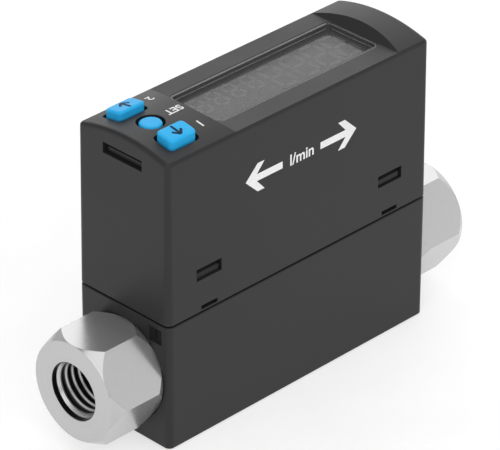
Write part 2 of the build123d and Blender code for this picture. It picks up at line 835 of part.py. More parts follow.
with BuildPart() as sensor_channel:
    with BuildSketch(Plane.XY.offset(channel_bottom)):
        Rectangle(channel_length, channel_width)
    extrude(amount=channel_height)
    with BuildSketch(Plane.XY.offset(channel_bottom)):
        SlotOverall(tap_spacing + channel_slot_width, channel_slot_width)
    extrude(amount=channel_slot_depth, mode=Mode.SUBTRACT)
    with BuildSketch(Plane.XY.offset(channel_bottom)):
        Rectangle(chip_length + 2 * chip_clearance, chip_width + 2 * chip_clearance)
    extrude(amount=channel_height, mode=Mode.SUBTRACT)
finish(sensor_channel, "sensor_channel")

with BuildPart() as sensor_board:
    with BuildSketch(Plane.XY.offset(sensor_board_bottom)):
        Rectangle(channel_length - 2 * sensor_board_margin, channel_width - 2 * sensor_board_margin)
    extrude(amount=sensor_board_thickness)
finish(sensor_board, "sensor_board")

with BuildPart() as sensor_chip:
    with BuildSketch(Plane.XY.offset(sensor_board_bottom)):
        Rectangle(chip_length, chip_width)
    extrude(amount=-chip_height)
finish(sensor_chip, "sensor_chip")

# Port fittings: hexagon with a threaded bore, and a spigot with grooves for its seal and clip
hex_chamfer = (hex_corner - hex_across_flats / 2) / math.tan(math.radians(hex_chamfer_angle))
seal_floor = spigot_radius - seal_groove_depth
seal_place = spigot_end + seal_setback + seal_groove_width / 2
bore_cone = thread_radius - port_bore_radius
with BuildPart() as port_fitting_right:
    with BuildSketch(port_plane):
        with BuildLine():
            Polyline(
                (seat_floor, 0),
                (port_face, 0),
                (port_face, hex_across_flats / 2),
                (port_face - hex_chamfer, hex_corner),
                (seat_floor + hex_chamfer, hex_corner),
                (seat_floor, hex_across_flats / 2),
                close=True,
            )
        make_face()
    revolve(axis=port_axis)
    with BuildSketch(Plane.YZ.offset(seat_floor)):
        with Locations((0, port_axis_height)):
            RegularPolygon(hex_across_flats / 2, 6, major_radius=False)
    extrude(amount=port_face - seat_floor, mode=Mode.INTERSECT)
    with BuildSketch(port_plane):
        with BuildLine():
            Polyline(
                (seat_floor, 0),
                (spigot_end, 0),
                (spigot_end, spigot_radius - lip_chamfer),
                (spigot_end + lip_chamfer, spigot_radius),
                (seal_place - seal_groove_width / 2, spigot_radius),
                (seal_place - seal_groove_width / 2, seal_floor),
                (seal_place + seal_groove_width / 2, seal_floor),
                (seal_place + seal_groove_width / 2, spigot_radius),
                (clip_place - clip_thickness / 2 - clip_clearance, spigot_radius),
                (clip_place - clip_thickness / 2 - clip_clearance, clip_groove_radius),
                (clip_place + clip_thickness / 2 + clip_clearance, clip_groove_radius),
                (clip_place + clip_thickness / 2 + clip_clearance, spigot_radius),
                (seat_floor, spigot_radius),
                close=True,
            )
        make_face()
    revolve(axis=port_axis)
    with BuildSketch(port_plane):
        with BuildLine():
            Polyline(
                (spigot_end, 0),
                (port_face, 0),
                (port_face, thread_radius + thread_mouth),
                (port_face - thread_mouth, thread_radius),
                (port_face - thread_depth, thread_radius),
                (port_face - thread_depth - bore_cone, port_bore_radius),
                (spigot_end, port_bore_radius),
                close=True,
            )
        make_face()
    revolve(axis=port_axis, mode=Mode.SUBTRACT)
finish(port_fitting_right, "port_fitting_right")

with BuildPart() as port_seal_right:
    with BuildSketch(port_plane):
        with Locations((seal_place, (seal_floor + port_pocket_radius) / 2)):
            Circle((port_pocket_radius - seal_floor) / 2 - seal_skin)
    revolve(axis=port_axis)
finish(port_seal_right, "port_seal_right")

with BuildPart() as retaining_clip_right:
    with BuildSketch(Plane.YZ.offset(clip_place)):
        with BuildLine():
            Polyline(
                (0, clip_recess),
                (clip_outer, clip_recess),
                (clip_outer, port_axis_height + clip_reach),
                (clip_outer - clip_leg, port_axis_height + clip_reach),
                (clip_outer - clip_leg, clip_recess + clip_bar),
                (0, clip_recess + clip_bar),
                close=True,
            )
        make_face()
        mirror(about=Plane.YZ)
    extrude(amount=clip_thickness / 2, both=True)
finish(retaining_clip_right, "retaining_clip_right")

# Flow passage: a screen at each spigot, a spacer with its pressure tap, and the straightener between them
core_radius = passage_radius - insert_clearance
screen_inner = spigot_end - screen_thickness
with BuildPart() as outlet_screen:
    with BuildSketch(Plane.YZ.offset(screen_inner)):
        with Locations((0, port_axis_height)):
            Circle(core_radius)
            Circle(screen_hole_radius, mode=Mode.SUBTRACT)
            for ring in range(1, screen_ring_count + 1):
                with PolarLocations(screen_ring_pitch * ring, 6 * ring):
                    Circle(screen_hole_radius, mode=Mode.SUBTRACT)
    extrude(amount=screen_thickness)
finish(outlet_screen, "outlet_screen")

with BuildPart() as outlet_spacer:
    with BuildSketch(Plane.YZ.offset(straightener_length / 2)):
        with Locations((0, port_axis_height)):
            Circle(core_radius)
            Circle(core_radius - spacer_wall, mode=Mode.SUBTRACT)
    extrude(amount=screen_inner - straightener_length / 2)
    with BuildSketch(Plane.XY.offset(port_axis_height)):
        with Locations((tap_spacing / 2, 0)):
            Circle(tap_radius)
    extrude(amount=passage_radius, mode=Mode.SUBTRACT)
finish(outlet_spacer, "outlet_spacer")

with BuildPart() as flow_straightener:
    with BuildSketch(Plane.YZ.offset(-straightener_length / 2)):
        with Locations((0, port_axis_height)):
            Circle(core_radius)
            Circle(straightener_hole_radius, mode=Mode.SUBTRACT)
            for ring in range(1, straightener_ring_count + 1):
                with PolarLocations(straightener_ring_pitch * ring, 6 * ring):
                    Circle(straightener_hole_radius, mode=Mode.SUBTRACT)
    extrude(amount=straightener_length)
finish(flow_straightener, "flow_straightener")

# The left end is the mirror image of the right end
for right_piece, left_name in (
    (port_fitting_right, "port_fitting_left"),
    (port_seal_right, "port_seal_left"),
    (retaining_clip_right, "retaining_clip_left"),
    (outlet_screen, "inlet_screen"),
    (outlet_spacer, "inlet_spacer"),
):
    with BuildPart() as left_piece:
        mirror(right_piece.part, about=Plane.YZ)
    finish(left_piece, left_name)

# Brass inserts in the underside
with BuildPart() as thread_inserts:
    with BuildSketch():
        with GridLocations(insert_spacing, 0, 2, 1):
            Circle(insert_radius)
            Circle(insert_thread_radius, mode=Mode.SUBTRACT)
    extrude(amount=insert_length)
finish(thread_inserts, "thread_inserts")

# Cable socket in the right end, against the main board, and its bent pins
with BuildPart() as connector_shell:
    with BuildSketch(Plane.YZ.offset(socket_back)):
        with Locations((0, socket_centre)):
            Rectangle(socket_width, socket_height)
    extrude(amount=socket_length)
    with BuildSketch(Plane.YZ.offset(socket_face)):
        with Locations((0, socket_centre)):
            Rectangle(socket_width - 2 * socket_wall, socket_height - 2 * socket_wall)
    extrude(amount=-(socket_length - socket_floor), mode=Mode.SUBTRACT)
    with BuildSketch(Plane.YZ.offset(socket_back)):
        with Locations((pin_offset, socket_centre)):
            with GridLocations(0, pin_pitch, 1, pin_count):
                Rectangle(pin_size, pin_size)
    extrude(amount=socket_floor, mode=Mode.SUBTRACT)
finish(connector_shell, "connector_shell")

with BuildPart() as connector_pins:
    with BuildSketch(Plane.YZ.offset(socket_back - pin_tail)):
        with Locations((pin_offset, socket_centre)):
            with GridLocations(0, pin_pitch, 1, pin_count):
                Rectangle(pin_size, pin_size)
    extrude(amount=pin_tail + socket_floor + pin_reach)
    with BuildSketch(Plane.YZ.offset(socket_back - pin_tail)):
        with Locations(((pin_offset + main_board_front) / 2, socket_centre)):
            with GridLocations(0, pin_pitch, 1, pin_count):
                Rectangle(main_board_front - pin_offset, pin_size)
    extrude(amount=pin_size)
finish(connector_pins, "connector_pins")
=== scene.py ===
import math

import bpy
from mathutils import Matrix, Vector


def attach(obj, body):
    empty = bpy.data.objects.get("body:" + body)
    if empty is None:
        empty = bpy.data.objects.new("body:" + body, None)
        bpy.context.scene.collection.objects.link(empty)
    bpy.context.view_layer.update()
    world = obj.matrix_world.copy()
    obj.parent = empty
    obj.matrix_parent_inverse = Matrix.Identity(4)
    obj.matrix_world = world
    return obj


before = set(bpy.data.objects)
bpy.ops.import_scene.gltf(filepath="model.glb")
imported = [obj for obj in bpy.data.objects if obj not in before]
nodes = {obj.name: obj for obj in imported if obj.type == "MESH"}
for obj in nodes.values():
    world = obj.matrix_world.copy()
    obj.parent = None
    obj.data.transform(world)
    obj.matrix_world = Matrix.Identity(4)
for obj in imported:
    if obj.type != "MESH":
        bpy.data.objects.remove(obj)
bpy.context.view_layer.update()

# Camera: a long lens that looks down on the deck from the front left.
# Its angles, its distance and its two small offsets are fitted to the body's edges.
turn = math.radians(45.295)
tilt = math.radians(30.699)
roll = math.radians(0.284)
distance = 0.62508
aim = Vector((-0.00004, 0.0, 0.027))
left_offset = 0.0009094
down_offset = 0.0021252
ahead = Vector((math.sin(turn) * math.cos(tilt), math.cos(turn) * math.cos(tilt), -math.sin(tilt)))
level = Vector((math.cos(turn), -math.sin(turn), 0.0))
upright = level.cross(ahead)
camera_x = math.cos(roll) * level + math.sin(roll) * upright
camera_y = math.cos(roll) * upright - math.sin(roll) * level
camera = bpy.data.objects.new("camera", bpy.data.cameras.new("camera"))
bpy.context.scene.collection.objects.link(camera)
camera_place = aim - left_offset * camera_x - down_offset * camera_y - distance * ahead
camera_axes = Matrix((camera_x, camera_y, -ahead)).transposed().to_4x4()
camera.matrix_world = Matrix.Translation(camera_place) @ camera_axes
camera.data.sensor_width = 36.0
camera.data.lens = 285.0
camera.data.clip_start = 0.05
camera.data.clip_end = 10.0
bpy.context.scene.camera = camera
bpy.context.scene.view_settings.view_transform = "Standard"


def add_node(tree, kind, inputs=None, **options):
    """A shader node in a tree: options are its own settings, inputs are values or sockets to join to."""
    made = tree.nodes.new("ShaderNode" + kind)
    for option, value in options.items():
        setattr(made, option, value)
    for socket, value in (inputs or {}).items():
        if isinstance(value, bpy.types.NodeSocket):
            tree.links.new(value, made.inputs[socket])
        else:
            made.inputs[socket].default_value = value
    return made


# Light: a white studio of soft light, brightest behind the object on its right and dim around the camera.
# Each lobe is a large soft panel, given as its direction, the edge where it fades out, and its gain.
# The camera itself sees plain white.
world = bpy.data.worlds.new("studio")
bpy.context.scene.world = world
world.use_nodes = True
studio = world.node_tree
studio.nodes.clear()
studio_direction = add_node(studio, "TexCoord").outputs["Generated"]
studio_floor_level = 0.28
studio_lobes = (
    ((0.66, 0.58, 0.46), 0.62, 1.62),
    ((0.8, -0.6, 0.1), 0.8, 0.8),
    ((-0.9, 0.3, 0.1), 0.7, 0.7),
)
studio_light = studio_floor_level
for direction, edge, gain in studio_lobes:
    lobe_axis = Vector(direction).normalized()
    toward = add_node(studio, "VectorMath", {0: studio_direction, 1: lobe_axis}, operation="DOT_PRODUCT")
    lobe = add_node(
        studio,
        "MapRange",
        {"Value": toward.outputs["Value"], "From Min": edge, "From Max": 1.0, "To Max": gain},
        interpolation_type="SMOOTHSTEP",
    )
    studio_light = add_node(studio, "Math", {0: lobe.outputs["Result"], 1: studio_light}).outputs["Value"]
studio_glow = add_node(studio, "Background", {"Color": (1.0, 1.0, 1.0, 1.0), "Strength": studio_light})
studio_white = add_node(studio, "Background", {"Color": (1.0, 1.0, 1.0, 1.0), "Strength": 1.0})
studio_mix = add_node(
    studio,
    "MixShader",
    {
        0: add_node(studio, "LightPath").outputs["Is Camera Ray"],
        1: studio_glow.outputs["Background"],
        2: studio_white.outputs["Background"],
    },
)
studio.links.new(studio_mix.outputs["Shader"], studio.nodes.new("ShaderNodeOutputWorld").inputs["Surface"])

# Key light: one wide soft box above the front left, turned to the object and hidden from the camera.
key_light = bpy.data.lights.new("key", "AREA")
key_light.shape = "RECTANGLE"
key_light.size = 1.8
key_light.size_y = 1.8
key_light.energy = 12.5
key = bpy.data.objects.new("key", key_light)
bpy.context.scene.collection.objects.link(key)
key_place = Vector((-0.35, -0.60, 0.85))
key.location = key_place
key.rotation_euler = (aim - key_place).to_track_quat("-Z", "Y").to_euler()
key.visible_camera = False


# Upper housing: one drafted shell, moulded in dark grey glass-filled plastic with a fine spark-eroded skin.
# It snaps on the base. Its edges are rounded by the tool and painted darker in patches, as painted shade on
# the fillets.
def new_group(name, inputs, outputs):
    """A shader node group with its number inputs and its outputs; returns it with its two end nodes."""
    group = bpy.data.node_groups.new(name, "ShaderNodeTree")
    for label, value in inputs.items():
        socket = group.interface.new_socket(label, in_out="INPUT", socket_type="NodeSocketFloat")
        socket.default_value = value
    for label, kind in outputs.items():
        group.interface.new_socket(label, in_out="OUTPUT", socket_type="NodeSocket" + kind)
    return group, group.nodes.new("NodeGroupInput"), group.nodes.new("NodeGroupOutput")


# Moulded skin: fine grain of the tool's surface, and slow clouds where the melt flowed.
moulded_skin, skin_in, skin_out = new_group(
    "moulded_skin", {"Grain Scale": 4000.0, "Cloud Scale": 90.0}, {"Tone": "Float", "Height": "Float"}
)
skin_place = add_node(moulded_skin, "TexCoord").outputs["Object"]
skin_grain = add_node(
    moulded_skin, "TexNoise", {"Vector": skin_place, "Scale": skin_in.outputs["Grain Scale"], "Detail": 3.0}
)
skin_cloud = add_node(
    moulded_skin, "TexNoise", {"Vector": skin_place, "Scale": skin_in.outputs["Cloud Scale"], "Detail": 2.0}
)
skin_sum = add_node(moulded_skin, "Math", {0: skin_grain.outputs["Fac"], 1: skin_cloud.outputs["Fac"]})
skin_tone = add_node(
    moulded_skin, "MapRange", {"Value": skin_sum.outputs["Value"], "From Min": 0.75, "From Max": 1.25}
)
moulded_skin.links.new(skin_tone.outputs["Result"], skin_out.inputs["Tone"])
moulded_skin.links.new(skin_grain.outputs["Fac"], skin_out.inputs["Height"])

# Rounded edges: the tool's small radius on every edge, and a patchy mask of the edges, which carries wear on
# most parts and painted shade on the housing and base.
rounded_edges, edges_in, edges_out = new_group(
    "rounded_edges", {"Radius": 0.00015, "Patch Scale": 700.0}, {"Edge": "Float", "Normal": "Vector"}
)
edges_bevel = add_node(rounded_edges, "Bevel", {"Radius": edges_in.outputs["Radius"]}, samples=6)
edges_bend = add_node(
    rounded_edges,
    "VectorMath",
    {0: edges_bevel.outputs["Normal"], 1: add_node(rounded_edges, "NewGeometry").outputs["Normal"]},
    operation="DOT_PRODUCT",
)
edges_mask = add_node(
    rounded_edges, "MapRange", {"Value": edges_bend.outputs["Value"], "From Min": 0.99, "From Max": 0.86}
)
edges_patch = add_node(
    rounded_edges,
    "TexNoise",
    {
        "Vector": add_node(rounded_edges, "TexCoord").outputs["Object"],
        "Scale": edges_in.outputs["Patch Scale"],
        "Detail": 2.0,
    },
)
edges_wear_and_shade = add_node(
    rounded_edges, "MapRange", {"Value": edges_patch.outputs["Fac"], "From Min": 0.35, "From Max": 0.65}
)
edges_both = add_node(
    rounded_edges,
    "Math",
    {0: edges_mask.outputs["Result"], 1: edges_wear_and_shade.outputs["Result"]},
    operation="MULTIPLY",
)
rounded_edges.links.new(edges_both.outputs["Value"], edges_out.inputs["Edge"])
rounded_edges.links.new(edges_bevel.outputs["Normal"], edges_out.inputs["Normal"])


def mix_colours(tree, share, first, second):
    """The colour between two colours or colour sockets: share is 0 at the first and 1 at the second."""
    ends = [(*end, 1.0) if isinstance(end, tuple) else end for end in (first, second)]
    return add_node(tree, "Mix", {0: share, 6: ends[0], 7: ends[1]}, data_type="RGBA").outputs[2]


def moulded(name, dark, light, wear_and_shade, smooth, rough, grain=4000.0, depth=0.000004, radius=0.00015, shine=0.3):
    """A moulded material: colour between dark and light over its grain, and wear_and_shade on its rounded
    edges: wear where that colour is lighter, painted shade where it is darker.
    """
    look = bpy.data.materials.new(name)
    look.use_nodes = True
    tree = look.node_tree
    shader = tree.nodes["Principled BSDF"]
    shader.inputs["Specular IOR Level"].default_value = shine
    skin = add_node(tree, "Group", node_tree=moulded_skin)
    skin.inputs["Grain Scale"].default_value = grain
    edges = add_node(tree, "Group", node_tree=rounded_edges)
    edges.inputs["Radius"].default_value = radius
    body = mix_colours(tree, skin.outputs["Tone"], dark, light)
    colour = mix_colours(tree, edges.outputs["Edge"], body, wear_and_shade)
    gloss = add_node(tree, "MapRange", {"Value": skin.outputs["Tone"], "To Min": smooth, "To Max": rough})
    bump = add_node(
        tree, "Bump", {"Height": skin.outputs["Height"], "Distance": depth, "Normal": edges.outputs["Normal"]}
    )
    tree.links.new(colour, shader.inputs["Base Color"])
    tree.links.new(gloss.outputs["Result"], shader.inputs["Roughness"])
    tree.links.new(bump.outputs["Normal"], shader.inputs["Normal"])
    return look


def dress(look, slot, *names):
    """Give CAD nodes their finished material; the slot it stands for is not used."""
    for name in names:
        nodes[name].material_slots[0].material = look


# Painted shade: the edge colour is darker than the body, so the rounded edges read as shaded.
housing_plastic = moulded(
    "housing_plastic", (0.017, 0.017, 0.018), (0.021, 0.021, 0.022), (0.010, 0.010, 0.010), 0.42, 0.52
)
dress(housing_plastic, "housing", "upper_housing")

# Base body: the same glass-filled plastic, moulded as one thick block round the flow passage.
# Its latch hooks, above the joint, are painted near black as the shade inside the latch windows, and its
# edges are painted darker in patches as shade, like the housing's.
base_plastic = moulded(
    "base_plastic", (0.017, 0.017, 0.018), (0.021, 0.021, 0.022), (0.010, 0.010, 0.010), 0.42, 0.52
)
# Painted shade: above the joint the base is mixed to near black, the shade in the latch windows over the
# hooks.
base_joint = 0.0223
hook_foot = 0.0225
hook_shade_black = (0.005, 0.005, 0.005)
base_tree = base_plastic.node_tree
base_colour = base_tree.nodes["Principled BSDF"].inputs["Base Color"]
base_place = add_node(base_tree, "SeparateXYZ", {0: add_node(base_tree, "TexCoord").outputs["Object"]})
hook_shade_mask = add_node(
    base_tree, "MapRange", {"Value": base_place.outputs["Z"], "From Min": base_joint, "From Max": hook_foot}
)
hook_shade_colour = mix_colours(
    base_tree, hook_shade_mask.outputs["Result"], base_colour.links[0].from_socket, hook_shade_black
)
base_tree.links.new(hook_shade_colour, base_colour)
dress(base_plastic, "housing", "base_body")

# Inner frame: a black plastic carrier for the boards, moulded in one piece and screwed to the base.
# Its latch nose shows in the slot in the left end.
frame_plastic = moulded(
    "frame_plastic", (0.012, 0.012, 0.013), (0.017, 0.017, 0.018), (0.03, 0.03, 0.03), 0.35, 0.45
)
dress(frame_plastic, "frame", "inner_frame")

# Buttons: three caps of sky blue satin plastic, dyed through, each on its own switch.
# The two outer ones carry a printed arrow.
button_plastic = moulded(
    "button_plastic",
    (0.022, 0.40, 0.78),
    (0.030, 0.44, 0.84),
    (0.06, 0.50, 0.90),
    0.34,
    0.44,
    radius=0.0002,
    shine=0.12,
)
dress(button_plastic, "button", "up_button", "set_button", "down_button")


pit_depth = 0.000003


def ink(name, thin, full, rough, shine=0.1):
    """Printing ink: nearly flat, a little thinner in the pits of the plastic under it."""
    look = bpy.data.materials.new(name)
    look.use_nodes = True
    tree = look.node_tree
    shader = tree.nodes["Principled BSDF"]
    skin = add_node(tree, "Group", node_tree=moulded_skin)
    colour = mix_colours(tree, skin.outputs["Tone"], thin, full)
    bump = add_node(tree, "Bump", {"Height": skin.outputs["Height"], "Distance": pit_depth})
    tree.links.new(colour, shader.inputs["Base Color"])
    tree.links.new(bump.outputs["Normal"], shader.inputs["Normal"])
    shader.inputs["Roughness"].default_value = rough
    shader.inputs["Specular IOR Level"].default_value = shine
    return look


def new_piece(name, points, faces, look, body):
    """A mesh piece from points in metres, with its material, riding on a body."""
    mesh = bpy.data.meshes.new(name)
    mesh.from_pydata(points, [], faces)
    mesh.validate()
    mesh.materials.append(look)
    piece = bpy.data.objects.new(name, mesh)
    bpy.context.scene.collection.objects.link(piece)
    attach(piece, body)
    return piece


millimetre = 0.001
arch_radius = 30.7
arch_centre = 21.5
cap_rise = 1.25
ink_lift = 0.02
stroke_step = 0.25


def stroke(points, faces, start, end, width, height_at):
    """Add one straight stroke of ink, laid in short steps on a surface whose height is height_at(y)."""
    along = Vector(end) - Vector(start)
    side = Vector((-along.y, along.x)).normalized() * (width / 2)
    steps = max(1, round(along.length / stroke_step))
    for index in range(steps + 1):
        middle = Vector(start) + along * (index / steps)
        for corner in (middle + side, middle - side):
            points.append(Vector((corner.x, corner.y, height_at(corner.y) + ink_lift)) * millimetre)
        if index:
            last = len(points) - 1
            faces.append((last - 3, last - 1, last, last - 2))


def cap_height(y):
    """The height of a cap's crowned top, in millimetres, at a distance y from the middle of the body."""
    return arch_centre + math.sqrt((arch_radius + cap_rise) ** 2 - y * y)


button_x = -22.8
cap_arrow_ink = ink("cap_arrow_ink", (0.003, 0.030, 0.065), (0.002, 0.022, 0.050), 0.5)
arrow_stroke = 0.46
arrow_tail = 4.3
arrow_tip = 6.6
arrow_barb = (0.95, 5.6)
for side, name, body in ((-1, "up_arrow", "up_key"), (1, "down_arrow", "down_key")):
    points = []
    faces = []
    tip = (button_x, arrow_tip * side)
    stroke(points, faces, (button_x, arrow_tail * side), tip, arrow_stroke, cap_height)
    for reach in (-1, 1):
        barb = (button_x + reach * arrow_barb[0], arrow_barb[1] * side)
        stroke(points, faces, barb, tip, arrow_stroke, cap_height)
    new_piece(name, points, faces, cap_arrow_ink, body)

# Printed arrows and characters: white two-part ink, pad printed on the front and on the pad by the buttons.
# The two long arrows are a thin field of the model; the characters are laid a hair above the plastic.
white_ink = ink("white_ink", (0.72, 0.72, 0.72), (0.86, 0.86, 0.86), 0.55, shine=0.4)
dress(white_ink, "print", "flow_arrow_print")


def lettering(name, text, height, bold, place, right, up, look):
    """Printed characters: the outlines of a plain typeface, laid in a plane at a place."""
    curve = bpy.data.curves.new(name, "FONT")
    curve.body = text
    curve.size = height
    curve.offset = bold
    curve.align_x = "CENTER"
    curve.align_y = "CENTER"
    curve.resolution_u = 4
    draft = bpy.data.objects.new(name + "_draft", curve)
    bpy.context.scene.collection.objects.link(draft)
    flat = bpy.data.meshes.new_from_object(draft)
    bpy.data.objects.remove(draft)
    points = [
        (Vector(place) + Vector(right) * v.co.x + Vector(up) * v.co.y) * millimetre for v in flat.vertices
    ]
    faces = [tuple(face.vertices) for face in flat.polygons]
    return new_piece(name, points, faces, look, "sensor")


bold_stroke = 0.05
draft_slope = math.tan(math.radians(0.44))
half_width = 10.0
wall_foot = 22.5
unit_x = 0.06
unit_height = 41.2
unit_place = (unit_x, -half_width + (unit_height - wall_foot) * draft_slope - ink_lift, unit_height)
unit_up = (0, draft_slope, 1)
unit = lettering("unit_print", "l/min", 2.75, bold_stroke, unit_place, (1, 0, 0), unit_up, white_ink)
for name, text, height, x, y in (
    ("up_label", "1", 2.2, -17.3, -5.0),
    ("set_label", "SET", 2.1, -17.7, 0.25),
    ("down_label", "2", 2.2, -17.1, 6.2),
):
    slope = -y / math.sqrt(arch_radius**2 - y * y)
    z = arch_centre + math.sqrt(arch_radius**2 - y * y)
    label_place = (x, y, z + ink_lift)
    label = lettering(name, text, height, bold_stroke, label_place, (-1, 0, 0), (0, -1, -slope), white_ink)

# Port numbers: plain black numerals printed on the small sunk plate beside each port, over a darker field
# that is painted shade from the fitting.
# They tell the two ports apart.
port_ink = ink("port_ink", (0.002, 0.002, 0.002), (0.003, 0.003, 0.003), 0.6)
# Painted shade: the field under each port number is darker, the shade that the fitting casts into the sunk
# plate.
plate_shade = ink("plate_shade", (0.012, 0.012, 0.012), (0.014, 0.014, 0.014), 0.6)
port_plate_face = 28.7
port_plate_centre = (-7.02, 19.9)
port_plate_reach = (1.35, 1.22)
for side, name, text in ((-1, "left_port", "1"), (1, "right_port", "2")):
    corners = [
        Vector(
            (
                side * (port_plate_face + ink_lift / 2),
                port_plate_centre[0] + across * port_plate_reach[0],
                port_plate_centre[1] + rise * port_plate_reach[1],
            )
        ) * millimetre
        for across, rise in ((-side, -1), (side, -1), (side, 1), (-side, 1))
    ]
    new_piece(name + "_shade_field", corners, [(0, 1, 2, 3)], plate_shade, "sensor")
    number_place = (side * (port_plate_face + ink_lift), *port_plate_centre)
    number = lettering(
        name + "_number", text, 2.3, bold_stroke, number_place, (0, side, 0), (0, 0, 1), port_ink
    )

# Port fittings: turned from hexagon bar with a pipe thread cut inside, then plated with bright nickel.
# Each is pushed into the base with a seal and held by its clip. Its bore and its thread's roots are painted
# dark as the shade inside the hole.
turned_metal, turned_in, turned_out = new_group(
    "turned_metal",
    {"Line Scale": 9000.0, "Axis Height": 0.0113},
    {"Tone": "Float", "Height": "Float", "Radius": "Float"},
)
turned_point = add_node(turned_metal, "TexCoord").outputs["Object"]
turned_place = add_node(turned_metal, "SeparateXYZ", {0: turned_point})
turned_above = add_node(
    turned_metal,
    "Math",
    {0: turned_place.outputs["Z"], 1: turned_in.outputs["Axis Height"]},
    operation="SUBTRACT",
)
turned_across = add_node(
    turned_metal, "CombineXYZ", {"X": turned_place.outputs["Y"], "Y": turned_above.outputs["Value"]}
)
turned_radius = add_node(
    turned_metal, "VectorMath", {0: turned_across.outputs["Vector"]}, operation="LENGTH"
)
turned_line = add_node(
    turned_metal, "CombineXYZ", {"X": turned_radius.outputs["Value"], "Y": turned_place.outputs["X"]}
)
turned_noise = add_node(
    turned_metal,
    "TexNoise",
    {"Vector": turned_line.outputs["Vector"], "Scale": turned_in.outputs["Line Scale"], "Detail": 2.0},
    noise_dimensions="2D",
)
turned_tone = add_node(
    turned_metal, "MapRange", {"Value": turned_noise.outputs["Fac"], "From Min": 0.3, "From Max": 0.7}
)
turned_metal.links.new(turned_tone.outputs["Result"], turned_out.inputs["Tone"])
turned_metal.links.new(turned_noise.outputs["Fac"], turned_out.inputs["Height"])
turned_metal.links.new(turned_radius.outputs["Value"], turned_out.inputs["Radius"])


# Painted shade: the dark colour laid into the port bores and the thread roots, where the hole is in shade.
bore_shade = (0.012, 0.012, 0.012)
broken_edge = 0.0001


def metal(name, dark, light, smooth, rough, depth=0.0000015, shade_radii=None):
    """A bare metal with fine turning marks about the port axis and softly broken edges.

    shade_radii gives the two radii from the port axis between which painted shade, dark in the bore, fades
    into clean metal.
    """
    look = bpy.data.materials.new(name)
    look.use_nodes = True
    tree = look.node_tree
    shader = tree.nodes["Principled BSDF"]
    marks = add_node(tree, "Group", node_tree=turned_metal)
    edges = add_node(tree, "Group", node_tree=rounded_edges)
    edges.inputs["Radius"].default_value = broken_edge
    colour = mix_colours(tree, marks.outputs["Tone"], dark, light)
    if shade_radii:
        shade_fade = add_node(
            tree, "MapRange", {"Value": marks.outputs["Radius"], "From Min": shade_radii[0], "From Max": shade_radii[1]}
        )
        colour = mix_colours(tree, shade_fade.outputs["Result"], bore_shade, colour)
    gloss = add_node(tree, "MapRange", {"Value": marks.outputs["Tone"], "To Min": smooth, "To Max": rough})
    bump = add_node(
        tree,
        "Bump",
        {"Height": marks.outputs["Height"], "Distance": depth, "Normal": edges.outputs["Normal"]},
    )
    tree.links.new(colour, shader.inputs["Base Color"])
    tree.links.new(gloss.outputs["Result"], shader.inputs["Roughness"])
    tree.links.new(bump.outputs["Normal"], shader.inputs["Normal"])
    shader.inputs["Metallic"].default_value = 1.0
    return look


# The fitting's bore and the thread's roots get painted shade through shade_radii.
fitting_steel = metal(
    "fitting_steel",
    (0.50, 0.50, 0.50),
    (0.54, 0.54, 0.54),
    0.20,
    0.26,
    depth=0.00000025,
    shade_radii=(0.00490, 0.00494),
)
thread_steel = metal(
    "thread_steel",
    (0.50, 0.50, 0.50),
    (0.58, 0.58, 0.58),
    0.2,
    0.28,
    depth=0.0000006,
    shade_radii=(0.00462, 0.00444),
)
lead_steel = metal("lead_steel", (0.52, 0.52, 0.52), (0.60, 0.60, 0.60), 0.22, 0.3, depth=0.0000003)
nickel_gloss = 0.7
for look in (fitting_steel, thread_steel, lead_steel):
    look.node_tree.nodes["Principled BSDF"].inputs["Metallic"].default_value = nickel_gloss
dress(fitting_steel, "fitting_steel", "port_fitting_left", "port_fitting_right")

# Port threads: each bore has a short bright lead-in cone, and behind it the cut thread.
# Both are turned in the fitting itself.
port_face = 39.8
port_axis = 11.3
thread_major = 4.85
thread_minor = 4.28
thread_pitch = 1.337
thread_start = 1.45
lead_start = 0.95
lead_wall = 4.93
lead_end = 4.45
lead_land = 0.2
lead_fall = 0.6
thread_end = 8.2
crest_share = 0.15
root_share = 0.22
thread_columns = 72


def thread_rows(pitch, start, end):
    """The thread's profile along its axis: distance in pitches and the share of its full height."""
    turns = math.ceil((end - start) / pitch) + 1
    crest = crest_share / 2
    root = 0.5 - root_share / 2
    rows = []
    for turn_index in range(-1, turns):
        for offset, share in ((-root, 0.0), (-crest, 1.0), (crest, 1.0), (root, 0.0)):
            rows.append((turn_index + offset, share))
    return rows


def internal_thread(name, look, place_at, side, major, minor, pitch, start, end):
    """A cut thread as a helical surface in a bore: it runs out to the bore's wall at both ends."""
    points = []
    faces = []
    rows = thread_rows(pitch, start, end)
    for column in range(thread_columns + 1):
        angle = 2 * math.pi * column / thread_columns
        for turns, share in rows:
            depth = min(max(start + (turns + column / thread_columns) * pitch, start), end)
            room = min((depth - start) / (0.5 * pitch), (end - depth) / (0.5 * pitch), 1.0)
            points.append(place_at(side, depth, major - (major - minor) * share * room, angle))
    for column in range(thread_columns):
        for row in range(len(rows) - 1):
            first = column * len(rows) + row
            faces.append((first, first + 1, first + 1 + len(rows), first + len(rows)))
    return new_piece(name, points, faces, look, "sensor")


def port_point(side, depth, radius, angle):
    """A point in a port's bore, by its depth from the mouth, its radius and its angle."""
    x = side * (port_face - depth)
    y = radius * math.cos(angle)
    z = port_axis + side * radius * math.sin(angle)
    return Vector((x, y, z)) * millimetre


